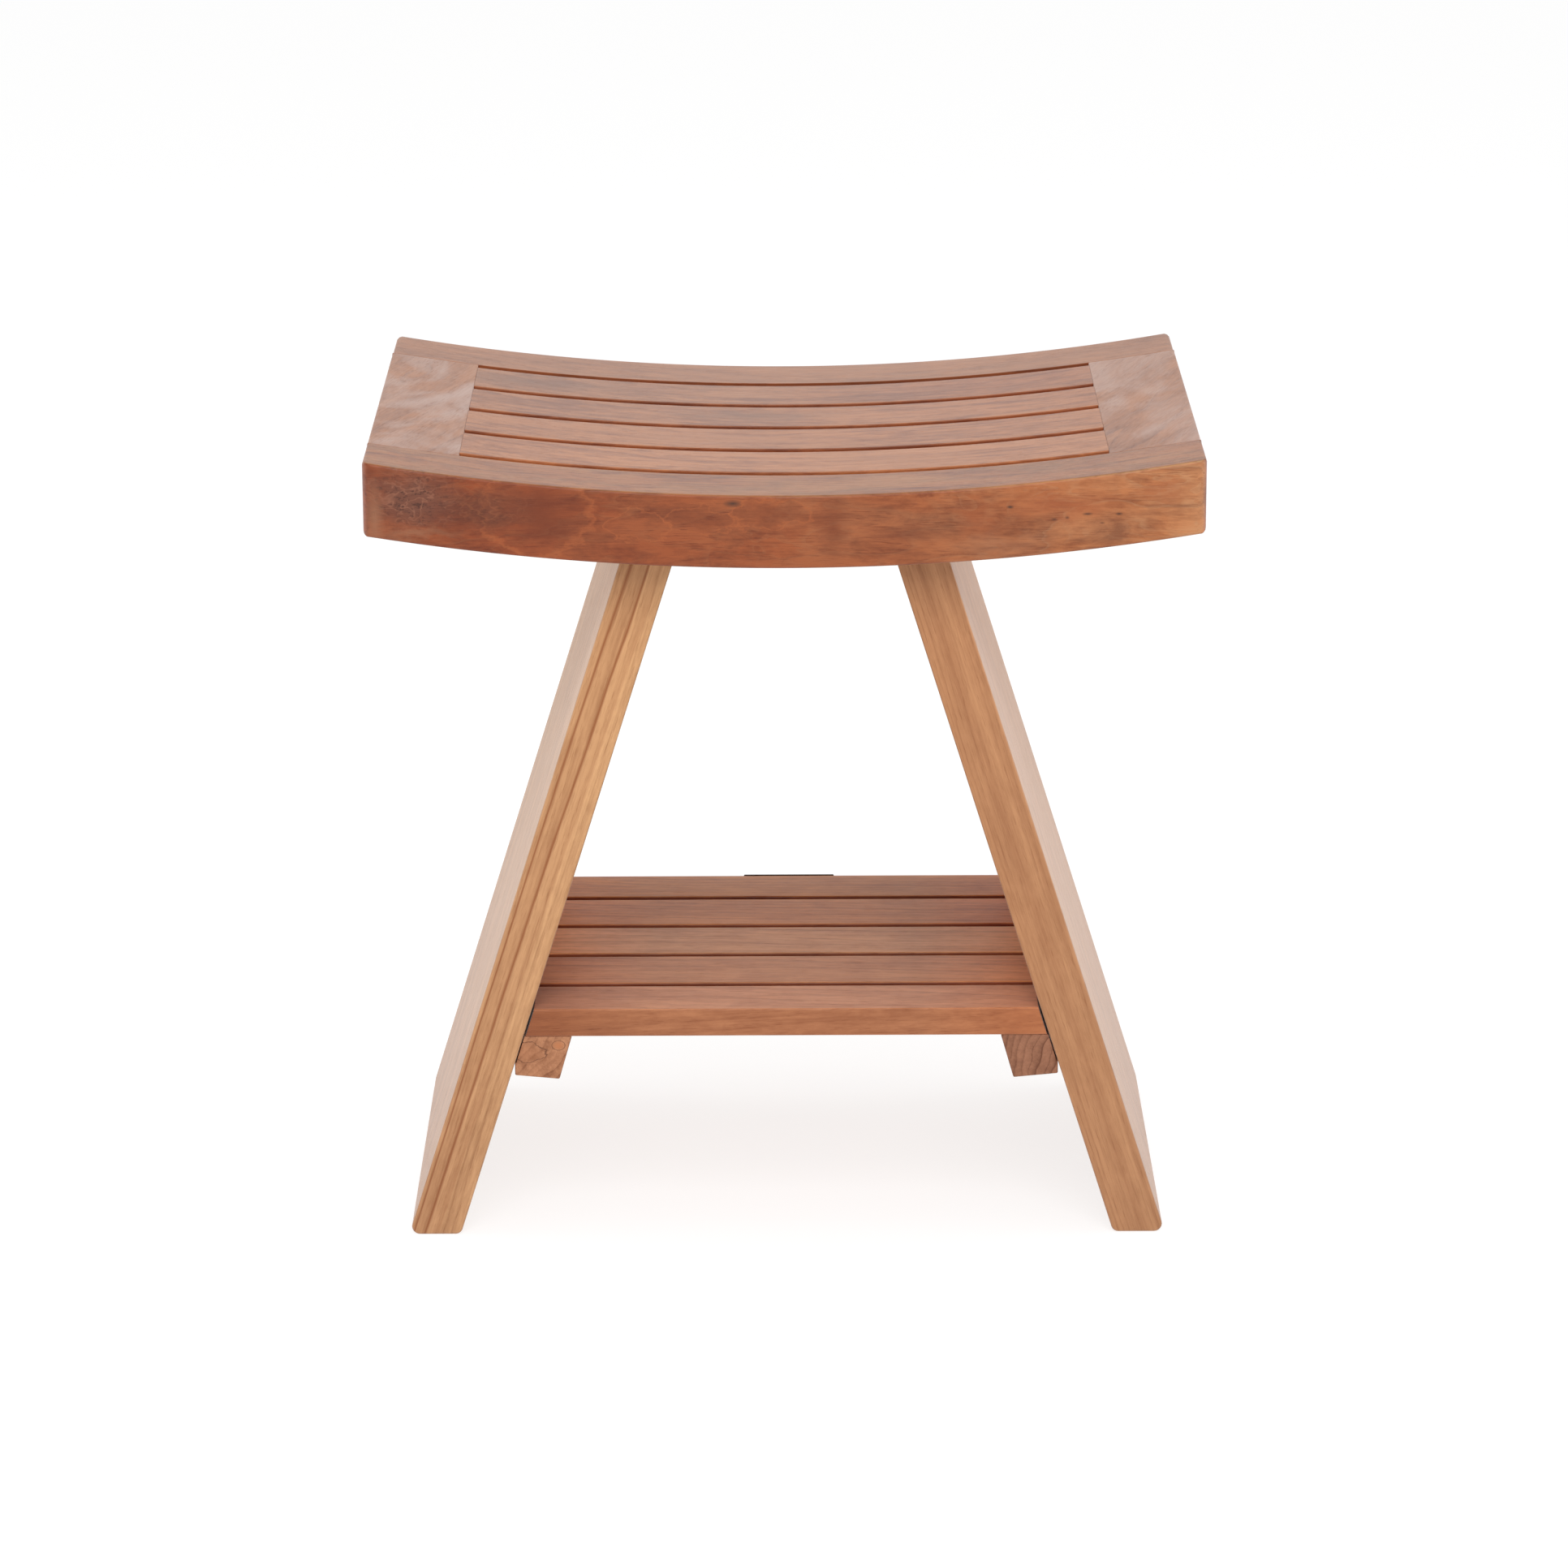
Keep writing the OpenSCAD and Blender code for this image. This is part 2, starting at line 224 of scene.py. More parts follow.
def turned(name, profile, axis, at, segments=40):
    """A closed solid turned about an axis through at. The profile lists (distance along the axis, radius)."""
    along = Vector(axis)
    side = along.orthogonal().normalized()
    other = along.cross(side)
    angles = [math.tau * step / segments for step in range(segments)]
    spokes = [side * math.cos(a) + other * math.sin(a) for a in angles]
    bm = bmesh.new()
    rings = []
    for distance, radius in profile:
        centre = Vector(at) + along * distance
        rings.append([bm.verts.new(centre + spoke * radius) for spoke in spokes])
    for lower, upper in zip(rings, rings[1:]):
        for i in range(segments):
            j = (i + 1) % segments
            bm.faces.new((lower[i], lower[j], upper[j], upper[i]))
    bm.faces.new(rings[0])
    bm.faces.new(rings[-1])
    bmesh.ops.recalc_face_normals(bm, faces=bm.faces)
    return link(name, bm)


def finish_piece(obj, material, *nodes):
    """Shades a piece, gives it its material and ties it to the frame in place of its CAD nodes."""
    for polygon in obj.data.polygons:
        polygon.use_smooth = True
    weighted = obj.modifiers.new("flat faces", "WEIGHTED_NORMAL")
    weighted.keep_sharp = True
    weighted.weight = 80
    obj.data.materials.clear()
    obj.data.materials.append(material)
    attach(obj, "root")
    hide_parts(*nodes)
    return obj


def mirrored(points):
    """An XZ outline turned from the right side to the left."""
    return [(-x, z) for x, z in points]


# --- Shader helpers ---

class Graph:
    """Adds nodes to one shader tree. Each method returns the output socket."""

    def __init__(self, tree):
        self.tree = tree

    def node(self, kind, inputs=(), **settings):
        made = self.tree.nodes.new(kind)
        for key, value in settings.items():
            setattr(made, key, value)
        for key, value in dict(inputs).items():
            self.feed(made.inputs[key], value)
        return made

    def feed(self, socket, value):
        if isinstance(value, bpy.types.NodeSocket):
            self.tree.links.new(value, socket)
        else:
            socket.default_value = value

    def math(self, operation, a, b=0.0, clamp=False):
        made = self.node("ShaderNodeMath", operation=operation, use_clamp=clamp)
        self.feed(made.inputs[0], a)
        self.feed(made.inputs[1], b)
        return made.outputs[0]

    def vector(self, operation, a, b=(0, 0, 0), scale=None):
        made = self.node("ShaderNodeVectorMath", operation=operation)
        self.feed(made.inputs[0], a)
        if scale is None:
            self.feed(made.inputs[1], b)
        else:
            self.feed(made.inputs["Scale"], scale)
        return made.outputs["Value" if operation in ("LENGTH", "DOT_PRODUCT") else "Vector"]

    def noise(self, vector, stretch, detail=2.0, roughness=0.5, distortion=0.0, colour=False):
        """Noise whose features are about stretch millimetres long on each axis."""
        shrunk = self.vector("MULTIPLY", vector, tuple(1.0 / s for s in stretch))
        made = self.node("ShaderNodeTexNoise", {"Vector": shrunk, "Scale": 1.0, "Detail": detail,
                                               "Roughness": roughness, "Distortion": distortion})
        return made.outputs["Color" if colour else "Fac"]

    def ramp(self, value, *stops):
        """A value read off straight lines between (position, level) stops."""
        made = self.node("ShaderNodeValToRGB", {"Fac": value})
        elements = made.color_ramp.elements
        while len(elements) < len(stops):
            elements.new(0.5)
        for element, (position, level) in zip(elements, stops):
            element.position = position
            element.color = (level, level, level, 1)
        return made.outputs["Color"]

    def mix(self, factor, a, b, blend="MIX"):
        made = self.node("ShaderNodeMix", data_type="RGBA", blend_type=blend)
        self.feed(made.inputs["Factor"], factor)
        self.feed(made.inputs["A"], a)
        self.feed(made.inputs["B"], b)
        return made.outputs["Result"]


def grain_group():
    """Solid teak, in millimetres: growth rings about a pith along X, fibres, pores and clouds of colour."""
    tree = bpy.data.node_groups.new("teak grain", "ShaderNodeTree")
    sockets = tree.interface
    sockets.new_socket("Point", in_out="INPUT", socket_type="NodeSocketVector")
    for name in ("Seed", "Ring", "Warp", "Figure", "Line", "Streak", "Cloud", "Pores", "PaintedSheen"):
        sockets.new_socket(name, in_out="INPUT", socket_type="NodeSocketFloat")
    for name in ("Light", "Dark", "Pale"):
        sockets.new_socket(name, in_out="INPUT", socket_type="NodeSocketColor")
    for name, kind in (("Color", "Color"), ("Roughness", "Float"), ("Height", "Float")):
        sockets.new_socket(name, in_out="OUTPUT", socket_type="NodeSocket" + kind)
    g = Graph(tree)
    inputs = g.node("NodeGroupInput").outputs
    point = inputs["Point"]

    offset = g.node("ShaderNodeCombineXYZ", {"X": inputs["Seed"], "Y": inputs["Seed"], "Z": inputs["Seed"]})
    seeded = g.vector("ADD", point, g.vector("SCALE", offset.outputs[0], scale=37.0))

    # The rings wander: a slow bend and a smaller one, across the fibres only
    slow = g.vector("SUBTRACT", g.noise(seeded, (240, 60, 60), colour=True), (0.5, 0.5, 0.5))
    quick = g.vector("SUBTRACT", g.noise(seeded, (60, 14, 14), colour=True), (0.5, 0.5, 0.5))
    bend = g.vector("ADD", g.vector("SCALE", slow, scale=2.0), g.vector("SCALE", quick, scale=0.35))
    bend = g.vector("SCALE", g.vector("MULTIPLY", bend, (0, 1, 1)), scale=inputs["Warp"])
    across = g.vector("MULTIPLY", g.vector("ADD", point, bend), (0, 1, 1))
    count = g.math("DIVIDE", g.vector("LENGTH", across), inputs["Ring"])
    count_point = g.node("ShaderNodeCombineXYZ", {"X": count, "Y": inputs["Seed"]}).outputs[0]
    wander = g.math("SUBTRACT", g.noise(count_point, (4, 4, 4)), 0.5)
    count = g.math("ADD", count, g.math("MULTIPLY", wander, 2.4))
    phase = g.math("FRACT", count)
    ring_number = {"W": g.math("FLOOR", count)}
    tone = g.node("ShaderNodeTexWhiteNoise", ring_number, noise_dimensions="1D").outputs["Value"]
    ring = g.ramp(phase, (0.0, 0.85), (0.06, 1.0), (0.22, 0.5), (0.5, 0.2), (0.85, 0.1), (1.0, 0.85))
    figure = g.math("MULTIPLY", ring, g.math("ADD", g.math("MULTIPLY", tone, 1.1), 0.2))
    line = g.math("MULTIPLY", g.ramp(phase, (0.86, 0.0), (0.95, 1.0), (1.0, 0.1)), tone)

    # Long fibres, wider bands of colour, short pores that gather in the early wood, and pale hazy patches of
    # painted sheen
    fibre = g.math("SUBTRACT", g.noise(seeded, (90, 1.0, 1.0), detail=3.0, roughness=0.6), 0.5)
    band = g.math("SUBTRACT", g.noise(seeded, (380, 9, 9), detail=3.0, roughness=0.55), 0.5)
    fleck = g.math("SUBTRACT", g.noise(seeded, (24, 1.8, 1.8), detail=4.0, roughness=0.65), 0.5)
    dashes = g.noise(seeded, (9, 0.45, 0.45), detail=1.0)
    pore = g.math("MULTIPLY", g.ramp(dashes, (0.58, 0.0), (0.70, 1.0)), g.math("ADD", ring, 0.3), clamp=True)
    cloud = g.math("SUBTRACT", g.noise(seeded, (46, 15, 15), detail=6.0, roughness=0.68, distortion=0.6), 0.5)
    mottle = g.math("SUBTRACT", g.noise(seeded, (8, 3, 3), detail=3.0, roughness=0.6), 0.5)
    swirl = g.noise(seeded, (44, 17, 17), detail=2.0, distortion=0.9)
    level = g.math("ADD", g.math("MULTIPLY", swirl, 6.0), g.math("MULTIPLY", mottle, 0.6))
    contour = g.ramp(g.math("FRACT", level), (0.0, 0.0), (0.07, 1.0), (0.55, 0.0))
    contour = g.math("MULTIPLY", contour, g.ramp(g.noise(seeded, (50, 24, 24)), (0.42, 0.0), (0.58, 1.0)))
    painted_sheen = g.ramp(g.noise(seeded, (80, 34, 34), detail=4.0, distortion=0.8), (0.44, 0.0), (0.62, 1.0))

    dark = g.math("MULTIPLY", figure, inputs["Figure"])
    for pattern, share, amount in ((fibre, 1.0, "Streak"), (band, 1.8, "Streak"), (fleck, 1.5, "Streak"),
                                   (cloud, 2.6, "Cloud"), (mottle, 0.9, "Cloud")):
        dark = g.math("ADD", dark, g.math("MULTIPLY", g.math("MULTIPLY", pattern, share), inputs[amount]))
    colour = g.mix(g.math("ADD", dark, 0.2, clamp=True), inputs["Light"], inputs["Dark"])
    line = g.math("MAXIMUM", line, g.math("MULTIPLY", contour, 0.7))
    colour = g.mix(g.math("MULTIPLY", line, inputs["Line"], clamp=True), colour, inputs["Pale"])
    colour = g.mix(g.math("MULTIPLY", painted_sheen, inputs["PaintedSheen"], clamp=True), colour, inputs["Pale"])
    pitted = g.math("MULTIPLY", g.math("MULTIPLY", pore, inputs["Pores"]), 0.55)
    colour = g.mix(pitted, colour, inputs["Dark"])

    gloss = g.math("ADD", g.math("MULTIPLY", fibre, 0.3), g.math("MULTIPLY", pore, 0.25))
    gloss = g.math("ADD", gloss, 0.44)
    height = g.math("SUBTRACT", g.math("MULTIPLY", fibre, 0.5), g.math("MULTIPLY", pore, inputs["Pores"]))
    height = g.math("SUBTRACT", height, g.math("MULTIPLY", figure, 0.25))
    g.node("NodeGroupOutput", {"Color": colour, "Roughness": gloss, "Height": height})
    return tree


GRAIN = grain_group()
# Turns that bring each axis onto X, along which the grain group's fibres run
AXES = {"x": Matrix.Identity(3), "y": Matrix.Rotation(-math.pi / 2, 3, "Z"),
        "z": Matrix.Rotation(math.pi / 2, 3, "Y")}
# Gains for the wood's dark fibres, and for no change
DARKER = (0.60, 0.46, 0.36)
SAME = (1, 1, 1)
TO_FRONT, TO_BACK, TO_LEFT, TO_RIGHT, UP = (0, -1, 0), (0, 1, 0), (-1, 0, 0), (1, 0, 0), (0, 0, 1)
# Marks up to this long along X keep a clean outline, in millimetres
SMALL_MARK = 10
# A leg's layers: how far they sway, their drift for each millimetre of height, and the height without drift
LAYER_SWAY = 5.0
LAYER_DRIFT = 0.018
LAYER_MIDDLE = 220


def scaled(colour, *gains):
    """The colour times one gain, or a gain for each channel, as RGBA."""
    gains = gains * 3 if len(gains) == 1 else gains
    return (*[c * gain for c, gain in zip(colour, gains)], 1)


def rgb(colour, *gains):
    """The colour times its gains, without alpha."""
    return scaled(colour, *gains)[:3]


def mark(at, size, colour, strength=0.8, soft=0.5, rim=0.0, speckle=0.0):
    """A knot, burl or stain: an ellipsoid in millimetres. A share of its radius is soft, its rim is light
    above 0 and dark below, and speckle adds dark specks and light veins."""
    return {"at": at, "size": size, "colour": colour, "strength": strength, "soft": soft, "rim": rim,
            "speckle": speckle}


def shade(x0, x1, first, last, bend=1.0, facing=None):
    """Light and dark along X, used for the wood's tone and for painted light and shade: the colour is
    multiplied by first at x0, in millimetres, and by last at x1. A bend above 1 keeps the change for x1, and
    facing is the direction that shaded faces look in."""
    return {"from": x0, "to": x1, "first": first, "last": last, "bend": bend, "facing": facing}


def add_layers(g, colour, place, point, tone, layers):
    """Dark layers below a face. They sway with the fibres and drift with the height, but not at the face."""
    direction, face, width, stops = layers
    depth = g.math("SUBTRACT", face, g.vector("DOT_PRODUCT", place, direction))
    sway = g.math("MULTIPLY", g.math("SUBTRACT", g.noise(point, (170, 40, 40), detail=3.0), 0.5), LAYER_SWAY)
    height = g.node("ShaderNodeSeparateXYZ", {"Vector": place}).outputs[2]
    rise = g.math("SUBTRACT", height, LAYER_MIDDLE)
    sway = g.math("SUBTRACT", sway, g.math("MULTIPLY", rise, LAYER_DRIFT))
    sway = g.math("MULTIPLY", sway, g.math("MULTIPLY", depth, 0.12, clamp=True))
    depth = g.math("ADD", depth, sway)
    darkness = g.ramp(g.math("DIVIDE", depth, width), *[(at / width, level) for at, level in stops])
    return g.mix(darkness, colour, scaled(tone, 0.52, 0.27, 0.13))


def add_shade(g, colour, place, normal, item):
    """Multiplies the colour by what shade gives."""
    across = g.node("ShaderNodeSeparateXYZ", {"Vector": place}).outputs[0]
    share = g.math("DIVIDE", g.math("SUBTRACT", across, item["from"]), item["to"] - item["from"], clamp=True)
    share = g.math("POWER", share, item["bend"])
    gain = g.mix(share, (*item["first"], 1), (*item["last"], 1))
    shown = 1.0
    if item["facing"]:
        shown = g.ramp(g.vector("DOT_PRODUCT", normal, item["facing"]), (0.3, 0.0), (0.7, 1.0))
    return g.mix(shown, colour, gain, "MULTIPLY")


def add_marks(g, colour, place, tone, marks, wobble):
    """Marks, of which the big ones have an outline that wobbles by that many millimetres."""
    ripple = g.noise(place, (16, 16, 9), detail=4.0, roughness=0.6, colour=True)
    ripple = g.vector("SUBTRACT", ripple, (0.5, 0.5, 0.5))
    rippled = g.vector("ADD", place, g.vector("SCALE", ripple, scale=wobble))
    specks = g.ramp(g.noise(place, (3.4, 3.4, 2), detail=3.0, roughness=0.7), (0.52, 0.0), (0.62, 1.0))
    curl = g.math("MULTIPLY", g.noise(place, (17, 17, 11), detail=3.0, distortion=0.6), 7.0)
    veins = g.ramp(g.math("FRACT", curl), (0.0, 0.0), (0.14, 1.0), (0.36, 0.0))
    for item in marks:
        local = g.vector("SUBTRACT", rippled if item["size"][0] > SMALL_MARK else place, item["at"])
        distance = g.vector("LENGTH", g.vector("MULTIPLY", local, tuple(1 / s for s in item["size"])))
        inside = g.ramp(distance, (1 - item["soft"], 1.0), (1.0, 0.0))
        inside = g.math("MULTIPLY", inside, item["strength"])
        colour = g.mix(inside, colour, (*item["colour"], 1))
        if item["speckle"]:
            dots = g.math("MULTIPLY", g.math("MULTIPLY", specks, inside), item["speckle"])
            colour = g.mix(dots, colour, scaled(item["colour"], 0.42, 0.34, 0.30))
            threads = g.math("MULTIPLY", g.math("MULTIPLY", veins, inside), item["speckle"] * 0.6)
            colour = g.mix(threads, colour, scaled(item["colour"], 2.3, 2.6, 2.5))
        if item["rim"]:
            edge = g.ramp(distance, (0.84, 0.0), (0.94, 1.0), (1.0, 0.0))
            ink = scaled(tone, 1.6, 1.9, 2.2) if item["rim"] > 0 else scaled(tone, 0.35, 0.25, 0.2)
            colour = g.mix(g.math("MULTIPLY", edge, abs(item["rim"])), colour, ink)
    return colour


def paint_face_light_and_shade(g, colour, place, normal, direction, gain, limit=None):
    """Paints light and shade by face: multiplies the colour of faces that look in a direction. A limit is a
    depth below the dished seat.
    """
    facing = g.ramp(g.vector("DOT_PRODUCT", normal, direction), (0.55, 0.0), (0.85, 1.0))
    if limit:
        spoke = g.vector("SUBTRACT", g.vector("MULTIPLY", place, (1, 0, 1)), (0, 0, arc_z / MM))
        below = g.math("SUBTRACT", g.vector("LENGTH", spoke), arc_r / MM)
        facing = g.math("MULTIPLY", facing, g.math("LESS_THAN", below, limit))
    return g.mix(facing, colour, g.mix(1.0, colour, (*gain, 1), "MULTIPLY"))


def teak(name, along, pith, seed, tone, ring=5.0, warp=8.0, figure=0.4, line=0.0, streak=0.5, cloud=0.4,
         pores=0.5, painted_sheen=0.0, dark=DARKER, pale=None, tilt=(0, 0, 0), marks=(), wobble=9.0, shades=(),
         layers=None, faces=()):
    """A board's wood. Its fibres run along an axis, tilted by degrees, and the tree's heart passes through
    pith, in millimetres in the row frame. The numbers from ring to the last, the pale hazy patches of painted
    sheen, are the grain group's. layers is a direction square to a face, the face's distance, a width and
    (depth, darkness) stops. shades change the colour along X: some are the wood's tone, some painted light
    and shade.
    faces holds painted light and shade by face: each a direction, a gain and at times a depth below the
    dished seat."""
    material = bpy.data.materials.new(name)
    material.use_nodes = True
    g = Graph(material.node_tree)
    shader = material.node_tree.nodes["Principled BSDF"]
    coords = g.node("ShaderNodeTexCoord").outputs
    normal = coords["Normal"]
    place = g.vector("SCALE", coords["Object"], scale=1 / MM)

    turn = AXES[along]
    for axis, angle in reversed(tuple(zip("XYZ", tilt))):
        turn = Matrix.Rotation(math.radians(angle), 3, axis) @ turn
    moved = g.vector("SUBTRACT", place, pith)
    rows = [g.vector("DOT_PRODUCT", moved, tuple(row)) for row in turn]
    point = g.node("ShaderNodeCombineXYZ", dict(zip("XYZ", rows))).outputs[0]
    grain = g.node("ShaderNodeGroup", node_tree=GRAIN)
    settings = {"Point": point, "Seed": seed, "Ring": ring, "Warp": warp, "Figure": figure, "Line": line,
                "Streak": streak, "Cloud": cloud, "Pores": pores, "PaintedSheen": painted_sheen, "Light": scaled(tone, 1.3),
                "Dark": scaled(tone, *dark), "Pale": (*pale, 1) if pale else scaled(tone, 1.5, 1.7, 1.9)}
    for key, value in settings.items():
        g.feed(grain.inputs[key], value)

    colour = grain.outputs["Color"]
    if layers:
        colour = add_layers(g, colour, place, point, tone, layers)
    for item in shades:
        colour = add_shade(g, colour, place, normal, item)
    if marks:
        colour = add_marks(g, colour, place, tone, marks, wobble)
    for face in faces:
        colour = paint_face_light_and_shade(g, colour, place, normal, *face)

    bump = g.node("ShaderNodeBump", {"Strength": 0.35, "Distance": 0.0002, "Height": grain.outputs["Height"]})
    g.feed(shader.inputs["Base Color"], colour)
    g.feed(shader.inputs["Roughness"], grain.outputs["Roughness"])
    g.feed(shader.inputs["Normal"], bump.outputs["Normal"])
    shader.inputs["Specular IOR Level"].default_value = 0.3
    shader.inputs["Sheen Weight"].default_value = 0.25
    shader.inputs["Sheen Roughness"].default_value = 0.45
    return material


def metal(name, colour, roughness, scratch):
    """Brushed metal with fine scratches."""
    material = bpy.data.materials.new(name)
    material.use_nodes = True
    g = Graph(material.node_tree)
    shader = material.node_tree.nodes["Principled BSDF"]
    coords = g.node("ShaderNodeTexCoord").outputs["Object"]
    millimetres = g.vector("SCALE", coords, scale=1 / MM)
    lines = g.noise(millimetres, (6, 0.12, 0.12), detail=3.0)
    smears = g.noise(millimetres, (5, 5, 5), detail=2.0)
    tint = g.mix(smears, scaled(colour, 0.8), scaled(colour, 1.0))
    rough = g.math("ADD", g.math("MULTIPLY", lines, scratch), roughness)
    bump = g.node("ShaderNodeBump", {"Strength": 0.2, "Distance": 0.00005, "Height": lines})
    g.feed(shader.inputs["Base Color"], tint)
    g.feed(shader.inputs["Roughness"], rough)
    g.feed(shader.inputs["Normal"], bump.outputs["Normal"])
    shader.inputs["Metallic"].default_value = 1.0
    return material


# --- Seat ---

OUTER_EASE = 1.6 * MM
END_EASE = 2.2 * MM
BACK_END_EASE = 3.2 * MM
SLOT_EASE = 0.8 * MM
JOINT_EASE = 0.35 * MM
CORNER_R = 5.5 * MM


def arc_block(name, x0, x1, y0, y1, top, bottom, radius_of=None):
    """A block bent to the seat's dish, between two depths below its surface."""
    end_margin = 7 * MM if x1 - x0 > 20 * MM else 0.0
    side_margin = 6 * MM if y1 - y0 > 40 * MM else 0.0
    xs = spread(x0, x1, 8 * MM, end_margin)
    ys = spread(y0, y1, 12 * MM, side_margin)
    obj = link(name, lattice_block(xs, ys, [-bottom, -top]))
    if radius_of:
        ease(obj, radius_of)
    reshape(obj, lambda p: Vector((p.x, p.y, dish(p.x, -p.z))))
    return obj


def near(a, b):
    """Whether two lengths in metres are within half a millimetre."""
    return abs(a - b) < 0.5 * MM


def cad(name):
    """A CAD node's object."""
    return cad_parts[name]


def middle_y(name):
    """Y of a node's middle."""
    lo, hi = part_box(name)
    return (lo.y + hi.y) / 2


def tenon_block(y, play=0.0):
    """The slat tenon at y as one bar from end board to end board, grown by a play."""
    end_x = end_inner_x + TENON_LENGTH + (MM if play else 0.0)
    top = (BOARD_THICKNESS - TENON_THICKNESS) / 2 - play
    half = TENON_WIDTH / 2 + play
    return arc_block("tenon", -end_x, end_x, y - half, y + half, top, BOARD_THICKNESS - top)


def make_rail(name, side, material):
    """side is -1 for the front rail and 1 for the back one."""
    inner, outer = side * rail_inner_y, side * half_depth

    def radius_of(middle, direction):
        at_outer, at_end = near(middle.y, outer), near(abs(middle.x), half_length)
        if abs(direction.z) > ALONG:
            return CORNER_R if at_outer else JOINT_EASE
        if at_end:
            return BACK_END_EASE if side > 0 else END_EASE
        if at_outer:
            return OUTER_EASE
        return JOINT_EASE if middle.z > -RAIL_THICKNESS / 2 else SLOT_EASE

    rail = arc_block(name, -half_length, half_length, *sorted((inner, outer)), 0, RAIL_THICKNESS, radius_of)
    carve(rail, cad("end_board_dowels"), cad("bearer_dowels"), keep=True)
    return finish_piece(rail, material, name)


def make_end_board(name, side, material):
    """side is -1 for the left board and 1 for the right one."""
    inner, outer = side * end_inner_x, side * half_length

    def radius_of(middle, direction):
        return END_EASE if near(middle.x, outer) and abs(direction.y) > ALONG else JOINT_EASE

    board = arc_block(name, *sorted((inner, outer)), -rail_inner_y, rail_inner_y, 0, BOARD_THICKNESS,
                      radius_of)
    carve(board, cad("end_board_dowels"), keep=True)
    carve(board, *[tenon_block(middle_y(slat), MORTISE_PLAY) for slat in SEAT_SLATS])
    return finish_piece(board, material, name)


def make_seat_slat(name, material):
    """A dished slat with a tenon at each end."""
    lo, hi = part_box(name)

    def radius_of(middle, direction):
        return SLOT_EASE if abs(direction.x) > ALONG else JOINT_EASE

    slat = arc_block(name, -end_inner_x, end_inner_x, lo.y, hi.y, 0, BOARD_THICKNESS, radius_of)
    carve(slat, tenon_block(middle_y(name)), operation="UNION")
    carve(slat, cad("bearer_screws"), keep=True)
    return finish_piece(slat, material, name)


def make_bearer(name, side, material):
    """A batten under the slats. Its outer face leans with the leg."""
    x0 = bearer_lo.x

    def place(point):
        """A point of the plain block, whose X runs from 0 to 1 across the bearer, in the bearer itself."""
        depth = -point.z
        z = dish(x0, depth)
        x = x0 + point.x * (leg_inner_x(z) - x0)
        return Vector((side * x, point.y, dish(x, depth)))

    obj = link(name, lattice_block(spread(0, 1, 0.25), spread(-rail_inner_y, rail_inner_y, 40 * MM),
                                   [-RAIL_THICKNESS, -BOARD_THICKNESS]))
    reshape(obj, place)
    bm = bmesh.new()
    bm.from_mesh(obj.data)
    bmesh.ops.recalc_face_normals(bm, faces=bm.faces)
    bm.to_mesh(obj.data)
    bm.free()
    ease(obj, lambda middle, direction: SLOT_EASE)
    fittings = [cad(part) for part in ("bearer_screws", "leg_bolts", "leg_barrel_nuts", "bearer_dowels")]
    carve(obj, *fittings, keep=True)
    return finish_piece(obj, material, name)


SEAT_SLATS = [f"seat_slat_{index}" for index in (1, 2, 3, 4)]
TOP_TONE = (0.262, 0.096, 0.033)
RED_TONE = (0.224, 0.049, 0.0115)
BURL = (0.135, 0.046, 0.026)
DEEP_RED = (0.145, 0.027, 0.006)
KNOT = (0.05, 0.020, 0.012)
ORANGE = (0.31, 0.080, 0.024)
TAN = (0.27, 0.115, 0.058)
# The end boards' pale colour, for their ring lines and their patches of painted sheen
LILAC = (0.40, 0.25, 0.20)
GREY = (0.165, 0.059, 0.025)
# Gains of painted shade for the slot walls between the seat's boards, lighter and redder on the first slat's
# front wall, and the slots' depth, down to which a rail's slot wall gets it
SLOT_SHADE_GAIN = (0.82, 0.60, 0.55)
FRONT_SLOT_SHADE_GAIN = (1.08, 0.90, 0.84)
SLOT_DEPTH = BOARD_THICKNESS / MM

front_marks = [
    mark((-134, -165, 429), (32, 12, 26), DEEP_RED, 0.85, 0.8, rim=0.45),
    mark((-203, -165, 437), (33, 12, 22), BURL, 0.9, 0.7, speckle=0.9),
    mark((-160, -165, 431), (28, 12, 16), (0.14, 0.038, 0.015), 0.9, 1.0, speckle=0.6),
    mark((-222, -165, 425), (6, 10, 26), TAN, 0.7, 0.9),
    mark((-202, -165, 416), (34, 10, 5), TAN, 0.6, 0.9),
    mark((-80, -165, 421), (17, 12, 9), (0.28, 0.075, 0.024), 0.15, 0.8, rim=0.45),
    mark((-46, -165, 424), (20, 10, 9), DEEP_RED, 0.5, 0.9, rim=0.4),
    mark((-28, -165, 433.5), (6, 10, 2.2), KNOT, 0.9, 0.9),
    mark((-8, -165, 428), (24, 10, 9), DEEP_RED, 0.6, 0.9, rim=0.5),
    mark((26, -165, 421), (10, 10, 26), DEEP_RED, 0.6, 1.0),
    mark((62, -165, 414), (26, 10, 9), DEEP_RED, 0.45, 1.0),
    mark((75, -165, 441), (50, 10, 3), DEEP_RED, 0.7, 0.9),
    mark((105, -165, 424), (16, 10, 14), ORANGE, 0.5, 1.0),
    mark((152, -165, 431), (38, 10, 9), ORANGE, 0.7, 0.9),
    mark((122, -165, 431), (2.4, 8, 1.1), KNOT, 0.9, 0.8),
    mark((146, -165, 424), (2.2, 8, 1.2), KNOT, 0.7, 0.9),
    mark((153, -165, 425), (1.6, 8, 1.2), KNOT, 0.7, 0.9),
    mark((164, -165, 427), (3.6, 8, 1.0), KNOT, 0.8, 0.8),
    mark((172, -165, 422), (1.8, 8, 0.9), KNOT, 0.6, 0.9),
    mark((181, -165, 427), (2.4, 8, 1.0), KNOT, 0.8, 0.8),
    mark((206, -165, 440), (18, 10, 8), ORANGE, 0.5, 1.0),
    mark((118, -165, 410), (40, 10, 8), TAN, 0.45, 1.0),
]
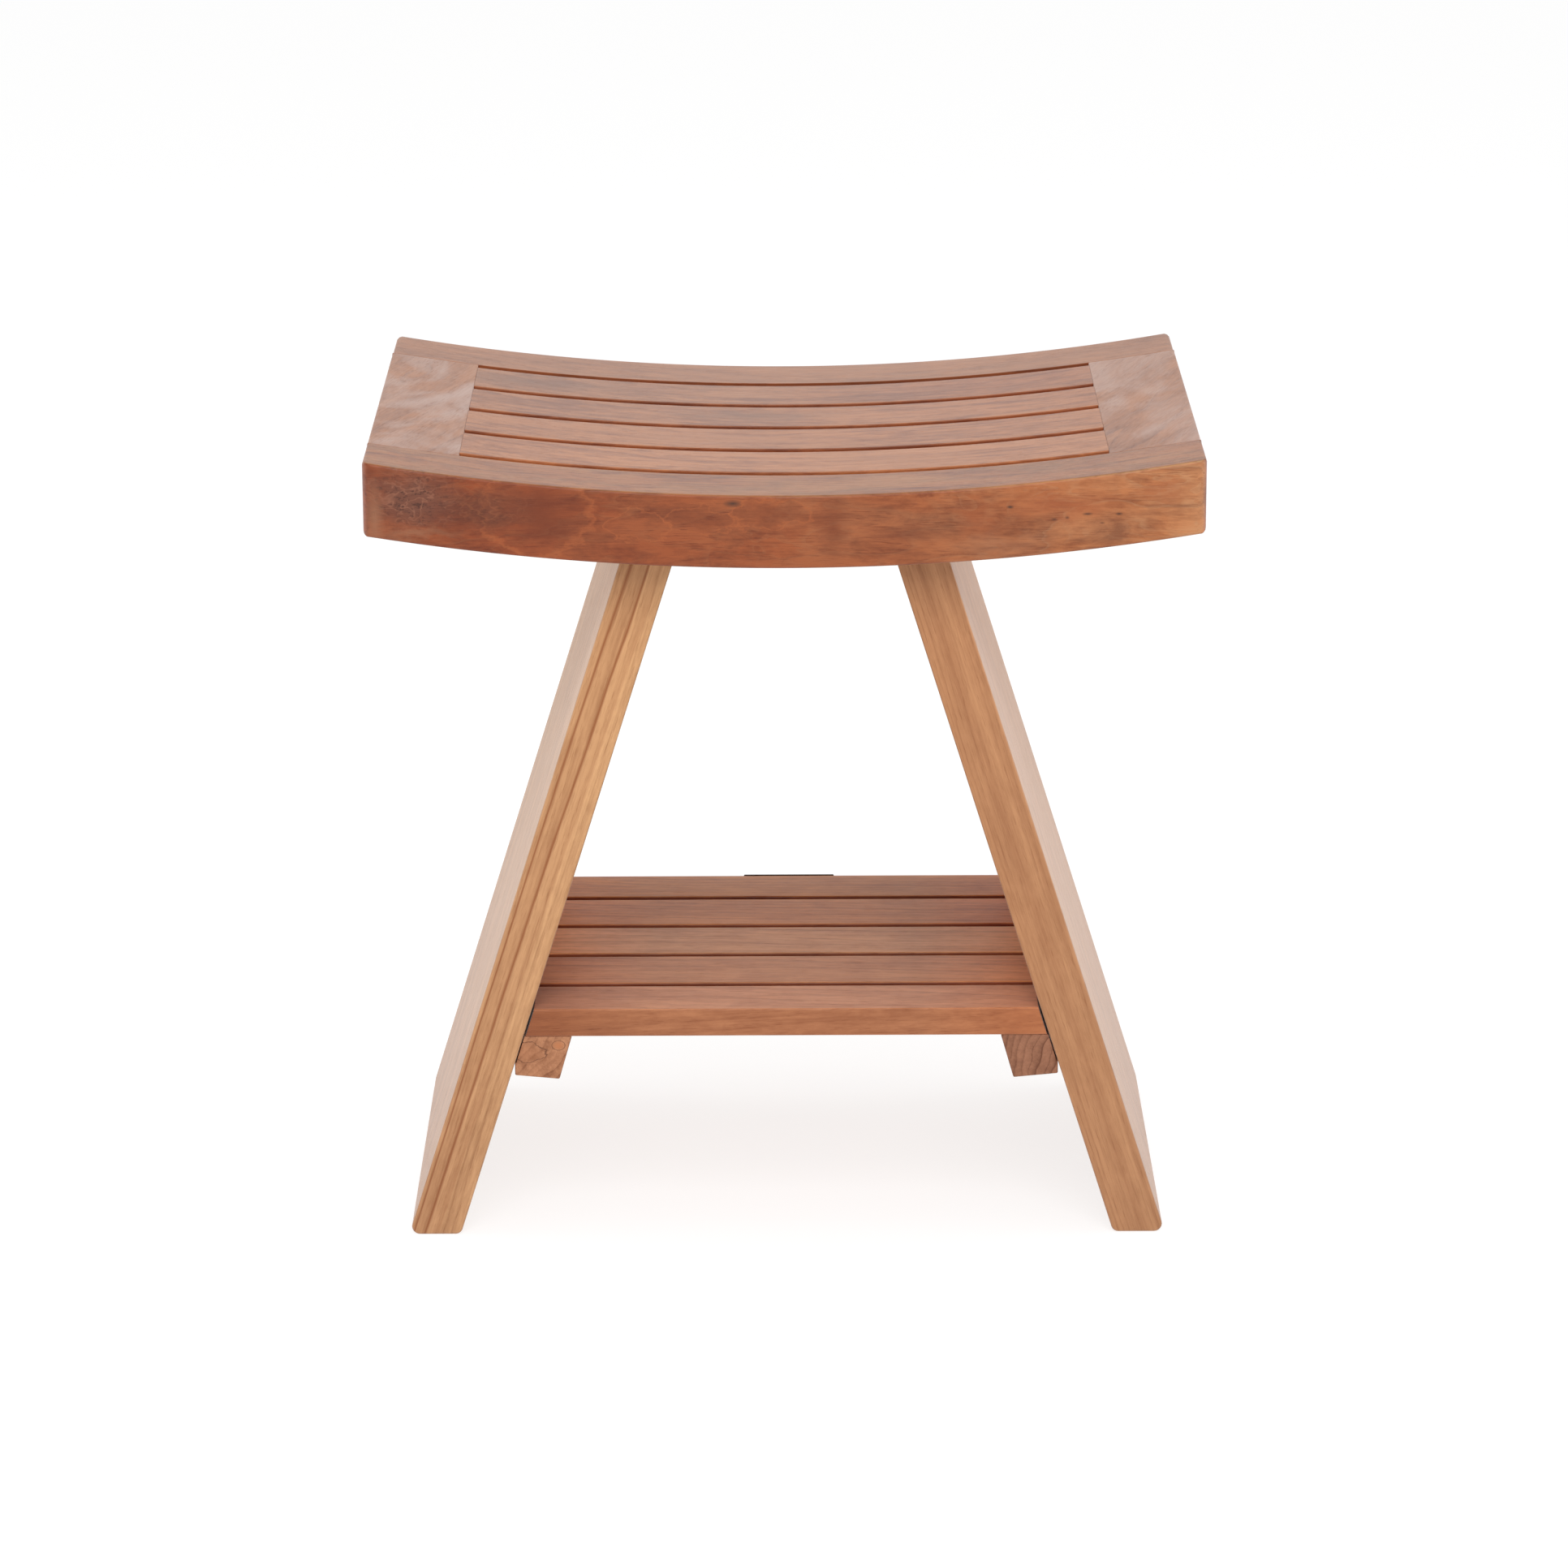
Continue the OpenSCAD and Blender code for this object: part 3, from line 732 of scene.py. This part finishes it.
# The front rail: its shade along X is the wood's own tone, paler to the right. Its back face, the slot wall,
# gets painted shade down to the slots' depth, its top a paler painted sheen, and its pale haze is painted
# sheen too.
front_wood = teak("teak front rail", "x", (0, 110, 410), 3.0, RED_TONE, ring=5, warp=26, figure=0.5,
                  line=0.4, streak=0.5, cloud=1.1, pores=1.0, painted_sheen=0.2, dark=(0.54, 0.37, 0.28),
                  pale=(0.31, 0.105, 0.036), marks=front_marks, wobble=22,
                  shades=[shade(-228, 228, (0.88, 0.84, 0.84), (1.56, 2.64, 3.9), 2.6, TO_FRONT)],
                  faces=((TO_BACK, SLOT_SHADE_GAIN, SLOT_DEPTH), (UP, (1.07, 1.57, 1.65))))
# The back rail's front face, the slot wall, gets painted shade down to the slots' depth.
back_wood = teak("teak back rail", "x", (-80, 200, 300), 11.0, TOP_TONE, ring=7, warp=12, figure=0.4,
                 cloud=0.6, tilt=(0, 2, 1), faces=((TO_FRONT, SLOT_SHADE_GAIN, SLOT_DEPTH),))
make_rail("seat_front_rail", -1, front_wood)
make_rail("seat_back_rail", 1, back_wood)
# The end boards' pale hazy patches, in lilac, are painted sheen.
left_wood = teak("teak left end board", "y", (-290, 0, 330), 21.0, TOP_TONE, ring=7, warp=26, figure=0.5,
                 line=0.2, streak=0.3, cloud=0.8, painted_sheen=0.9, pale=LILAC, tilt=(5, 0, 14))
right_wood = teak("teak right end board", "y", (290, 30, 330), 27.0, TOP_TONE, ring=7, warp=26, figure=0.5,
                  line=0.2, streak=0.3, cloud=0.7, painted_sheen=0.6, pale=LILAC, tilt=(-5, 0, 24))
make_end_board("seat_end_left", -1, left_wood)
make_end_board("seat_end_right", 1, right_wood)

# Each seat slat, front to back: its stains, its gain, and its gain at the right end
slat_marks = [
    [mark((60, -85, 440), (60, 24, 30), rgb(TOP_TONE, 1.3), 0.6, 0.9)],
    [mark((-40, -28, 440), (60, 20, 30), rgb(TOP_TONE, 1.25, 1.25, 1.3), 0.7, 1.0)],
    [mark((-20, 30, 440), (60, 18, 30), GREY, 0.9, 1.0)],
    [mark((-150, 88, 440), (80, 20, 30), GREY, 0.9, 1.0)],
]
SLAT_GAINS = ((1.17, 1.17, 1.14), (1.08, 1.05, 0.98), (1.03, 1.01, 0.98), SAME)
SLAT_RIGHT_GAINS = (SAME, (1.04, 1.04, 1.04), (1.06, 1.03, 0.98), (0.96, 0.84, 0.70))
SLAT_DARK = (0.70, 0.54, 0.42)
for index, name in enumerate(SEAT_SLATS):
    pith = (0, middle_y(name) / MM + 60, 330 - 10 * index)
    # Each slat's front and back faces, the slot walls, get painted shade.
    wood = teak(f"teak seat slat {index + 1}", "x", pith, 31.0 + 7 * index, rgb(TOP_TONE, *SLAT_GAINS[index]),
                ring=5, warp=10, figure=0.6, streak=0.8, cloud=1.2, pores=1.0, dark=SLAT_DARK,
                tilt=(0, 1.5, 1), marks=slat_marks[index], wobble=24,
                shades=[shade(-20, 100, SAME, SLAT_RIGHT_GAINS[index])],
                faces=((TO_FRONT, SLOT_SHADE_GAIN if index else FRONT_SLOT_SHADE_GAIN), (TO_BACK, SLOT_SHADE_GAIN)))
    make_seat_slat(name, wood)
for side, word in ((-1, "left"), (1, "right")):
    wood = teak(f"teak {word} bearer", "y", (60 * side, 0, 380), 61.0 + side, TOP_TONE)
    make_bearer(f"seat_bearer_{word}", side, wood)


# --- Legs ---

LEG_EASE = 1.6 * MM
BOLT_R = 3 * MM
WASHER_THICKNESS = 1.6 * MM
COUNTERBORE_R = 7.75 * MM
# How far the blocks that trim a leg's top reach past it on each side, past the rails and up
CUT_X, CUT_Y, CUT_UP = 120 * MM, 200 * MM, 80 * MM

washer_lo, washer_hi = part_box("leg_washers")
washer_r = (washer_hi.z - washer_lo.z) / 2
bolt_seat_x = washer_hi.x - WASHER_THICKNESS
bolt_y = washer_hi.y - washer_r
bolt_z = (washer_lo.z + washer_hi.z) / 2


def at_bolts():
    """Where the bolts meet the counterbores' floors: a direction outwards and a point."""
    for side in (-1, 1):
        for y in (-bolt_y, bolt_y):
            yield (side, 0, 0), (side * bolt_seat_x, y, bolt_z)


def leg_outline():
    """Section of the right leg, from the floor to above the seat, with the foot's corners round."""
    outer_x = LEG_FOOT_X - FOOT_OUTER_R * (LEG_SLOPE + 1 / math.cos(leg_lean))
    inner_x = LEG_FOOT_X - leg_run + FOOT_INNER_R * (1 / math.cos(leg_lean) - LEG_SLOPE)
    points = []
    for step in range(5):
        a = (math.pi / 2 - leg_lean) * step / 4
        points.append((inner_x - FOOT_INNER_R * math.sin(a), FOOT_INNER_R * (1 - math.cos(a))))
    top = leg_hi.z + 20 * MM
    points.append((leg_inner_x(top), top))
    points.append((leg_inner_x(top) + leg_run, top))
    for step in range(7):
        a = (math.pi / 2 + leg_lean) * (6 - step) / 6
        points.append((outer_x + FOOT_OUTER_R * math.sin(a), FOOT_OUTER_R * (1 - math.cos(a))))
    return points


def make_leg(name, side, material):
    """A leaning panel whose top fits between the rails. side is -1 for the left leg and 1 for the right."""
    outline = leg_outline()
    if side < 0:
        outline = mirrored(outline)
    leg = link(name, prism(outline, -leg_half_depth, leg_half_depth))
    ease(leg, lambda middle, direction: 0.0 if abs(direction.y) > ALONG and middle.z < 20 * MM else LEG_EASE)
    above = arc_block("above", -CUT_X, CUT_X, -CUT_Y, CUT_Y, -CUT_UP, BOARD_THICKNESS)
    tongue_y = rail_inner_y - LEG_PLAY
    sides = ((-CUT_Y, -tongue_y), (tongue_y, CUT_Y))
    notches = [arc_block("notch", -CUT_X, CUT_X, y0, y1, -CUT_UP, RAIL_THICKNESS) for y0, y1 in sides]
    carve(leg, above, *notches)
    profile = [(-60 * MM, BOLT_R), (-0.5 * MM, BOLT_R), (0, COUNTERBORE_R), (40 * MM, COUNTERBORE_R)]
    carve(leg, *[turned("bore", profile, axis, at) for axis, at in at_bolts() if axis[0] == side])
    carve(leg, cad("shelf_cleat_screws"), keep=True)
    return finish_piece(leg, material, name)


LEG_TONE = (0.45, 0.236, 0.112)
LEFT_STOPS = [(0, 0.05), (2.4, 0.25), (3.2, 0.95), (4.2, 0.25), (10.6, 0.3), (12, 0.95), (13.2, 0.1),
              (19, 0.3), (20, 0.0)]
RIGHT_STOPS = [(0, 0.1), (4, 0.25), (7, 0.1), (15, 0.3), (18, 0.15), (28, 0.2)]
face_distance = LEG_FOOT_X / MM * math.cos(leg_lean)
lean_degrees = math.degrees(leg_lean)
# Painted shade darkens each leg towards its foot and painted light brightens it towards the top, most on the
# outer face. The outer face's own gain is painted light on the right leg, paler, and painted shade on the
# left, darker.
left_wood = teak("teak left leg", "z", (-330, -60, 0), 71.0, LEG_TONE, ring=5, warp=6, figure=0.3,
                 streak=0.55, cloud=0.4, pores=0.8, tilt=(0, -lean_degrees, 0),
                 layers=(left_outward, face_distance, LEG_THICKNESS / MM, LEFT_STOPS),
                 shades=[shade(-214, -75, (0.92, 0.93, 0.95), (1.07, 1.12, 1.10)),
                         shade(-214, -150, (0.85, 0.78, 0.74), SAME, facing=left_outward)],
                 faces=((left_outward, (0.92, 0.92, 0.88)),))
right_wood = teak("teak right leg", "z", (330, -60, 0), 77.0, rgb(LEG_TONE, 0.87, 0.80, 0.76), ring=3, warp=6,
                  figure=0.25, streak=0.45, cloud=0.3, pores=0.8, tilt=(0, lean_degrees, 0),
                  layers=(right_outward, face_distance, LEG_THICKNESS / MM, RIGHT_STOPS),
                  shades=[shade(214, 75, (0.94, 0.98, 1.03), (1.03, 1.04, 1.05)),
                          shade(214, 150, (0.88, 0.83, 0.80), (1.08, 1.10, 1.11), facing=right_outward)],
                  faces=((right_outward, (1.04, 1.12, 1.22)),))
make_leg("leg_left", -1, left_wood)
make_leg("leg_right", 1, right_wood)


# --- Shelf ---

SHELF_END_EASE = 1.2 * MM
CLEAT_EASE = 0.8 * MM
CLEAT_RELIEF = 0.9 * MM
RELIEF_LENGTH = 14 * MM
SHELF_SLATS = [f"shelf_slat_{index}" for index in (1, 2, 3, 4, 5)]


def make_shelf_slat(name, material):
    """A flat slat whose ends lean with the legs."""
    lo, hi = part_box(name)
    bottom_x = leg_inner_x(lo.z) - SHELF_END_GAP

    def radius_of(middle, direction):
        return SHELF_END_EASE if abs(direction.x) > ALONG else JOINT_EASE

    slat = link(name, lattice_block(spread(-bottom_x, bottom_x, 40 * MM), spread(lo.y, hi.y, 20 * MM),
                                    [lo.z, hi.z]))
    ease(slat, radius_of)
    reshape(slat, lambda p: Vector((p.x * (leg_inner_x(p.z) - SHELF_END_GAP) / bottom_x, p.y, p.z)))
    carve(slat, cad("shelf_slat_screws"), keep=True)
    if name == SHELF_SLATS[-1]:
        carve(slat, cad("label_pins"), keep=True)
    return finish_piece(slat, material, name)


def relief(side, y, low, high):
    """A thin slice that keeps a cleat's end clear of the leg."""
    outline = [(leg_inner_x(low) - CLEAT_RELIEF, low), (leg_inner_x(high) - CLEAT_RELIEF, high + MM),
               (leg_inner_x(high) + MM, high + MM), (leg_inner_x(low) + MM, low)]
    if side < 0:
        outline = mirrored(outline)
    return link("relief", prism(outline, y - RELIEF_LENGTH, y + RELIEF_LENGTH))


def make_cleat(name, side, material):
    """A batten under the shelf's end, along a leg."""
    top, bottom = cleat_hi.z, cleat_lo.z + CLEAT_DROP
    step_z = top - CLEAT_STEP
    outline = [(leg_inner_x(top), top), (leg_inner_x(top) - CLEAT_WIDTH, top),
               (leg_inner_x(bottom) - CLEAT_WIDTH, cleat_lo.z), (leg_inner_x(step_z), bottom),
               (leg_inner_x(step_z), step_z)]
    if side < 0:
        outline = mirrored(outline)
    cleat = link(name, prism(outline, cleat_lo.y, cleat_hi.y))
    ease(cleat, lambda middle, direction: CLEAT_EASE)
    carve(cleat, cad("shelf_slat_screws"), cad("shelf_cleat_screws"), keep=True)
    for y in (cleat_lo.y, cleat_hi.y):
        carve(cleat, relief(side, y, step_z, top))
    return finish_piece(cleat, material, name)


# The shelf slats, front to back: their tones, and the gains at their left and right ends, mostly painted
# light reflected from the legs, with painted shade at the front slat's left end
SHELF_TONES = ((0.49, 0.21, 0.10), (0.44, 0.182, 0.074), (0.47, 0.22, 0.10), (0.46, 0.175, 0.056),
               (0.40, 0.147, 0.036))
SHELF_END_LIGHT_GAINS = (((0.72, 0.58, 0.46), (1.05, 0.92, 0.78)), ((1.10, 0.90, 0.72), (1.45, 1.28, 1.05)),
                   ((1.60, 1.48, 1.30), (1.55, 1.45, 1.30)), ((1.45, 1.38, 1.18), (1.28, 1.05, 0.88)),
                   ((1.35, 1.30, 1.15), (1.25, 1.05, 0.84)))
SHELF_DARK = (0.68, 0.48, 0.34)
# Painted shade on the shelf's slot walls and on the slats' ends by the legs, lighter painted shade on the
# front slat's front face, and paler, cooler painted light on the back slat's back face
SHELF_SLOT_SHADE_GAIN = (0.36, 0.20, 0.15)
SHELF_FRONT_SHADE_GAIN = (0.62, 0.56, 0.50)
SHELF_BACK_LIGHT_GAIN = (0.84, 0.94, 1.7)
# Painted shade in the crevice where a cleat's end meets its leg
CREVICE_SHADE_GAIN = (0.55, 0.26, 0.18)


def shelf_shades(index):
    """A slat's gains at its two ends, painted light and shade, as shades."""
    left, right = SHELF_END_LIGHT_GAINS[index]
    return [shade(-75, -130, SAME, left), shade(75, 130, SAME, right)]


def shelf_face_light_and_shade(index):
    """A slat's ends and slot walls are darker with painted shade, and the shelf's front and back have their
    own gains of painted shade and painted light.
    """
    front = SHELF_SLOT_SHADE_GAIN if index > 0 else SHELF_FRONT_SHADE_GAIN
    back = SHELF_SLOT_SHADE_GAIN if index < len(SHELF_SLATS) - 1 else SHELF_BACK_LIGHT_GAIN
    return (TO_FRONT, front), (TO_BACK, back), (TO_LEFT, SHELF_SLOT_SHADE_GAIN), (TO_RIGHT, SHELF_SLOT_SHADE_GAIN)


for index, name in enumerate(SHELF_SLATS):
    pith = (0, middle_y(name) / MM + 70, 60 + 10 * index)
    wood = teak(f"teak shelf slat {index + 1}", "x", pith, 91.0 + 5 * index, SHELF_TONES[index], ring=5,
                warp=12, figure=0.4, streak=0.45, cloud=0.6, pores=1.0, dark=SHELF_DARK, tilt=(0, 2.5, 1),
                shades=shelf_shades(index), faces=shelf_face_light_and_shade(index))
    make_shelf_slat(name, wood)

# The left cleat's end grain has a knot
cleat_marks = [mark((-145, -127, 107), (11, 20, 6), (0.36, 0.14, 0.06), 0.4, 0.6, rim=-0.95),
               mark((-128, -127, 112), (4, 10, 3), (0.45, 0.16, 0.06), 0.8, 0.7, rim=-1.0)]
# Both cleats get painted shade on their faces against the legs.
left_wood = teak("teak left cleat", "y", (-180, 0, 140), 120.0, (0.35, 0.155, 0.075), ring=5, warp=16,
                 figure=0.5, cloud=0.8, marks=cleat_marks, wobble=14, faces=((left_outward, CREVICE_SHADE_GAIN),))
right_wood = teak("teak right cleat", "y", (225, 0, 84), 122.0, (0.235, 0.100, 0.053), ring=4.2, warp=14,
                  figure=0.9, faces=((right_outward, CREVICE_SHADE_GAIN),))
make_cleat("shelf_cleat_left", -1, left_wood)
make_cleat("shelf_cleat_right", 1, right_wood)


# --- Fittings ---

BOLT_LENGTH = 50 * MM
BOLT_HEAD_HEIGHT = 6 * MM
BOLT_HEAD_R = 5 * MM
SOCKET_DEPTH = 3 * MM
SOCKET_R = 2.9 * MM
WASHER_HOLE_R = 3.2 * MM
CHAMFER = 0.5 * MM
PLATE_CORNER_R = 1.6 * MM
PLATE_EASE = 0.15 * MM
HEXAGON = 6

steel = metal("stainless steel", (0.40, 0.40, 0.41), 0.26, 0.2)
dark_metal = metal("dark plate", (0.05, 0.035, 0.03), 0.35, 0.2)
beech = teak("beech dowel", "y", (0, 0, 300), 141.0, (0.60, 0.42, 0.24), figure=0.2)


def gathered(name, pieces):
    """One object holding the meshes of several, which are removed."""
    bm = bmesh.new()
    for piece in pieces:
        bm.from_mesh(piece.data)
        bpy.data.objects.remove(piece)
    return link(name, bm)


def make_bolt(axis, at):
    """A socket-head bolt on its washer, with chamfered rims and a hexagonal socket."""
    tip = WASHER_THICKNESS - BOLT_LENGTH
    face = WASHER_THICKNESS + BOLT_HEAD_HEIGHT
    bolt = turned("bolt", [(tip, BOLT_R - CHAMFER), (tip + CHAMFER, BOLT_R), (WASHER_THICKNESS, BOLT_R),
                           (WASHER_THICKNESS, BOLT_HEAD_R), (face - CHAMFER, BOLT_HEAD_R),
                           (face, BOLT_HEAD_R - CHAMFER)], axis, at)
    socket = [(face - SOCKET_DEPTH, SOCKET_R), (face + MM, SOCKET_R)]
    carve(bolt, turned("socket", socket, axis, at, segments=HEXAGON))
    return bolt


def make_washer(axis, at):
    """A flat washer with chamfered rims."""
    rim = CHAMFER / 2
    washer = turned("washer", [(0, washer_r - rim), (rim, washer_r), (WASHER_THICKNESS - rim, washer_r),
                               (WASHER_THICKNESS, washer_r - rim)], axis, at)
    carve(washer, turned("hole", [(-MM, WASHER_HOLE_R), (3 * MM, WASHER_HOLE_R)], axis, at))
    return washer


def make_plate(material):
    """A thin plate with round corners, held by two pins."""
    lo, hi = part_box("label_plate")
    block = lattice_block(spread(lo.x, hi.x, 10 * MM), [lo.y, hi.y], [lo.z, hi.z])
    plate = link("label_plate_rounded", block)
    ease(plate, lambda middle, direction: PLATE_CORNER_R if abs(direction.y) > ALONG else PLATE_EASE)
    carve(plate, cad("label_pins"), keep=True)
    return finish_piece(plate, material, "label_plate")


def finish_node(name, material):
    """Gives its material to a CAD node that shows as it is."""
    cad(name).data.materials.clear()
    cad(name).data.materials.append(material)


finish_piece(gathered("leg_bolt_set", [make_bolt(*spot) for spot in at_bolts()]), steel, "leg_bolts")
finish_piece(gathered("leg_washer_set", [make_washer(*spot) for spot in at_bolts()]), steel, "leg_washers")
make_plate(dark_metal)
for name in ("bearer_screws", "leg_barrel_nuts", "shelf_slat_screws", "shelf_cleat_screws", "label_pins"):
    finish_node(name, steel)
for name in ("end_board_dowels", "bearer_dowels"):
    finish_node(name, beech)


# --- Floor, light and camera ---

FLOOR_X = (-6, 6)
FLOOR_Y = (-6, 9)
FLOOR_TILE = 3
FLOOR_THICKNESS = 0.02
FLOOR_COLOUR = (0.26, 0.26, 0.26, 1)
FLOOR_GLOW = 0.78
WORLD_COLOUR = (1.0, 0.995, 0.99, 1)
WORLD_STRENGTH = 0.68
CAMERA_PLACE = (-0.0048, -3.381, 1.211)
# Yaw, pitch down and roll, in degrees
CAMERA_ANGLES = (0.07, 16.22, -0.203)
CAMERA_LENS = 140.3
CAMERA_SENSOR = 36
STOOL_MIDDLE = (0, 0, 0.25)


def make_floor():
    """A near-white studio floor that glows a little, so that only a faint shadow shows."""
    xs, ys = spread(*FLOOR_X, FLOOR_TILE), spread(*FLOOR_Y, FLOOR_TILE)
    floor = link("floor", lattice_block(xs, ys, [-FLOOR_THICKNESS, 0.0]))
    material = bpy.data.materials.new("pale floor")
    material.use_nodes = True
    shader = material.node_tree.nodes["Principled BSDF"]
    shader.inputs["Base Color"].default_value = FLOOR_COLOUR
    shader.inputs["Roughness"].default_value = 0.9
    shader.inputs["Specular IOR Level"].default_value = 0.1
    shader.inputs["Emission Color"].default_value = (1, 1, 1, 1)
    shader.inputs["Emission Strength"].default_value = FLOOR_GLOW
    floor.data.materials.append(material)


def make_softbox(name, place, width, height, power):
    """A rectangular light that faces the stool's middle."""
    light = bpy.data.lights.new(name, "AREA")
    light.shape = "RECTANGLE"
    light.size = width
    light.size_y = height
    light.energy = power
    lamp = bpy.data.objects.new(name, light)
    bpy.context.scene.collection.objects.link(lamp)
    lamp.location = place
    lamp.rotation_euler = (Vector(STOOL_MIDDLE) - Vector(place)).to_track_quat("-Z", "Y").to_euler()


def make_world():
    """Even light from all round."""
    world = bpy.data.worlds.new("studio")
    bpy.context.scene.world = world
    world.use_nodes = True
    background = world.node_tree.nodes["Background"]
    background.inputs["Color"].default_value = WORLD_COLOUR
    background.inputs["Strength"].default_value = WORLD_STRENGTH


def make_camera():
    """Stands in front of the stool and looks slightly down, as in the reference view."""
    yaw, pitch, roll = (math.radians(angle) for angle in CAMERA_ANGLES)
    ahead = Vector((math.sin(yaw) * math.cos(pitch), math.cos(yaw) * math.cos(pitch), -math.sin(pitch)))
    right = Vector((math.cos(yaw), -math.sin(yaw), 0))
    up = right.cross(ahead)
    right, up = right * math.cos(roll) + up * math.sin(roll), up * math.cos(roll) - right * math.sin(roll)
    data = bpy.data.cameras.new("camera")
    data.lens = CAMERA_LENS
    data.sensor_width = CAMERA_SENSOR
    camera = bpy.data.objects.new("camera", data)
    bpy.context.scene.collection.objects.link(camera)
    axes = Matrix((right, up, -ahead)).transposed()
    camera.matrix_world = Matrix.Translation(CAMERA_PLACE) @ axes.to_4x4()
    bpy.context.scene.camera = camera


make_floor()
make_world()
make_softbox("front softbox", (0, -2.2, 2.1), 2.0, 1.6, 45)
make_softbox("top softbox", (0, 0.2, 2.6), 2.0, 1.6, 6)
for side, word in ((-1, "left"), (1, "right")):
    make_softbox(f"{word} softbox", (3.2 * side, 0.3, 1.3), 1.8, 1.4, 32)
make_camera()
bpy.context.scene.view_settings.view_transform = "Standard"
